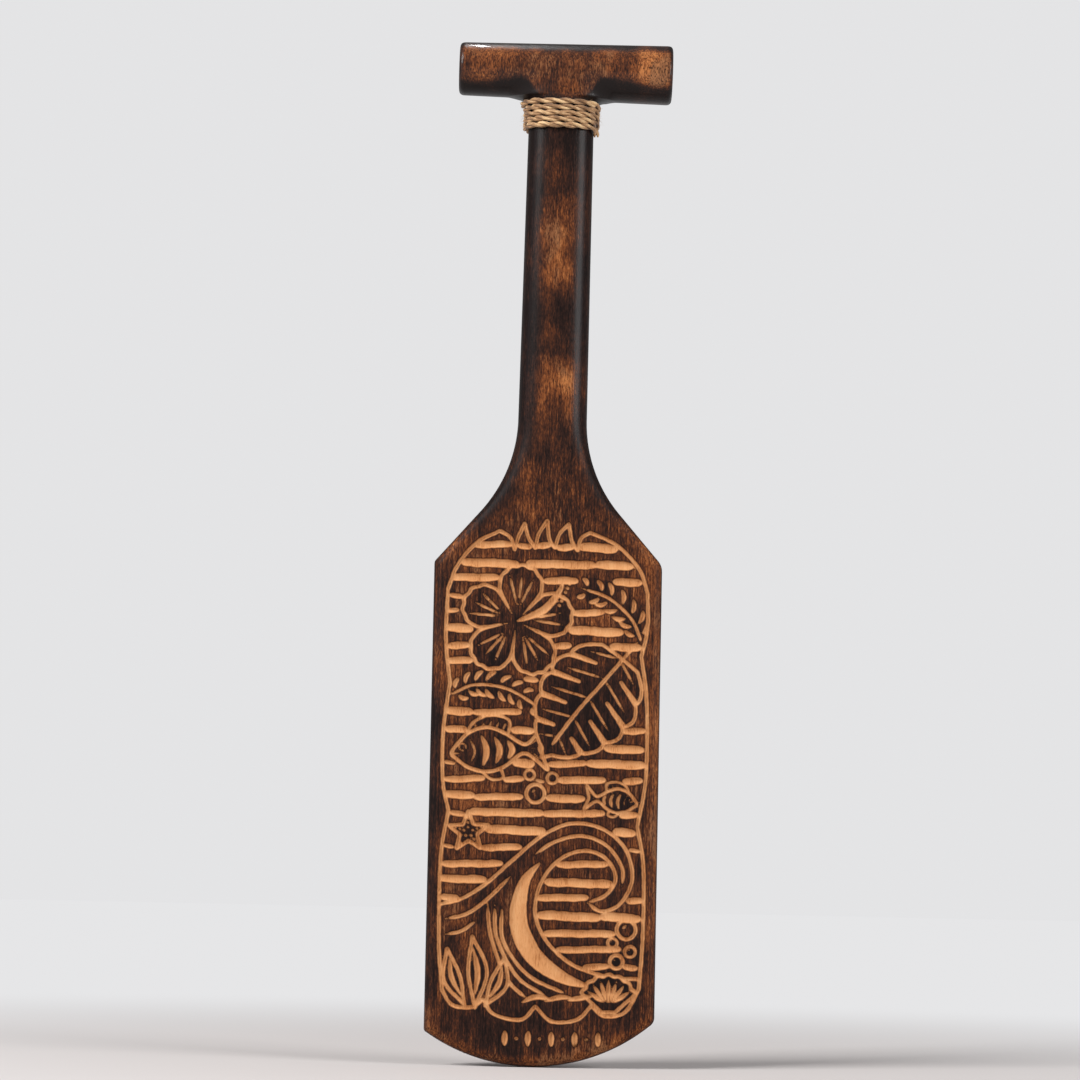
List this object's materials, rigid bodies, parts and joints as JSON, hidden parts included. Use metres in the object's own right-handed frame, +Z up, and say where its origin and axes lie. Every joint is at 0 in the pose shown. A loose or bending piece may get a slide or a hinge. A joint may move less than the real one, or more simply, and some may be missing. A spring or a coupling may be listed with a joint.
{
  "type": "carved wooden paddle",
  "caption": "Decorative wooden paddle with a T grip, a cord lashing under the grip and a blade carved on its front.",
  "frame": {"origin": "the level of the blade's lowest point, in the middle of the blade's width and thickness", "axes": "+Z up the paddle from the blade's tip to the grip, +X to the right as one looks at the carved face, -Y out of the carved face"},
  "size_m": [0.112, 0.0311, 0.5],
  "materials": {
    "scorched_wood": "dark stained and scorched, satin varnish",
    "carved_wood": "bare pale wood in the carved cuts, matt",
    "dowel_wood": "plain hardwood, matt",
    "cord": "twisted natural fibre, matt"
  },
  "bodies": {
    "root": {"blade_and_shaft": "scorched_wood", "t_grip": "scorched_wood", "grip_dowel": "dowel_wood", "lashing_cord": "cord"}
  },
  "joints": []
}
